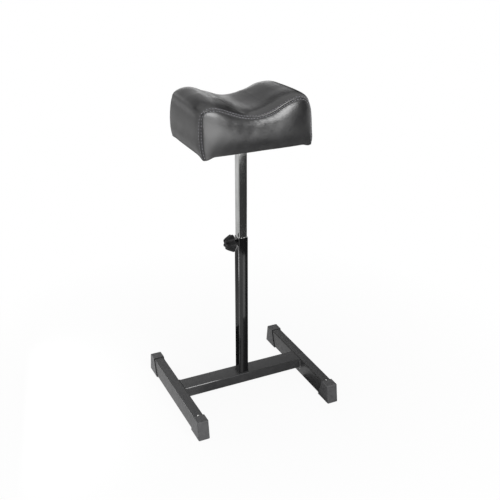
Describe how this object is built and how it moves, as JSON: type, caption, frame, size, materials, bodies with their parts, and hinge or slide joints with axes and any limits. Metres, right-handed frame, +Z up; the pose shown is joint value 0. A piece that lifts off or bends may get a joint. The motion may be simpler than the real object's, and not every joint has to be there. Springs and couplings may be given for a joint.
{
  "type": "pedicure footrest",
  "caption": "Hollowed leg cushion on a telescopic square post that a star knob clamps, over an H-shaped floor base.",
  "frame": {"origin": "on the floor, at the middle of the base", "axes": "+Z up along the posts, +X along the crossbar away from the knob, +Y along the legs and the cushion's hollow"},
  "size_m": [0.3842, 0.3556, 0.7922],
  "materials": {
    "satin_paint": "satin black powder coat",
    "gloss_paint": "gloss black paint",
    "chrome_plate": "bright chrome plating",
    "black_plastic": "moulded matte black",
    "zinc_steel": "zinc plated",
    "pad_nylon": "natural nylon",
    "plywood": "raw plywood",
    "foam": "open-cell foam",
    "leather": "grained black synthetic leather",
    "dust_cloth": "black felted cloth"
  },
  "bodies": {
    "base": {"leg_left_tube": "satin_paint", "leg_right_tube": "satin_paint", "crossbar_tube": "satin_paint", "crossbar_weld_left": "satin_paint", "crossbar_weld_right": "satin_paint", "cap_front_left": "black_plastic", "cap_front_right": "black_plastic", "cap_rear_left": "black_plastic", "cap_rear_right": "black_plastic", "cap_rivet_left": "zinc_steel", "cap_rivet_right": "zinc_steel", "outer_post_tube": "gloss_paint", "post_foot_weld": "gloss_paint", "weld_nut": "gloss_paint"},
    "clamp_pad": {"clamp_pad": "pad_nylon"},
    "knob": {"star_knob": "black_plastic", "knob_stud": "zinc_steel"},
    "top": {"inner_post_tube": "chrome_plate", "inner_post_plug": "black_plastic", "mounting_plate": "satin_paint", "plate_weld": "gloss_paint", "plate_bolt_1": "zinc_steel", "plate_bolt_2": "zinc_steel", "plate_bolt_3": "zinc_steel", "plate_bolt_4": "zinc_steel", "tee_nut_1": "zinc_steel", "tee_nut_2": "zinc_steel", "tee_nut_3": "zinc_steel", "tee_nut_4": "zinc_steel", "cushion_board": "plywood", "cushion_foam": "foam", "cover_strip": "leather", "cover_front_panel": "leather", "cover_rear_panel": "leather", "dust_cover": "dust_cloth"}
  },
  "joints": [
    {"name": "height_slide", "type": "slide", "parent": "base", "child": "top", "axis": [0, 0, 1], "range_m": [-0.22, 0.05]},
    {"name": "knob_travel", "type": "slide", "parent": "base", "child": "clamp_pad", "axis": [-1, 0, 0], "range_m": [0, 0.0025]},
    {"name": "knob_turn", "type": "hinge", "parent": "clamp_pad", "child": "knob", "pos_m": [-0.0125, -0.007, 0.419], "axis": [-1, 0, 0], "range_deg": [0, 720]}
  ],
  "couplings": [
    {"joint": "knob_travel", "follows": "knob_turn", "m_per_rad": 0.00019894}
  ]
}
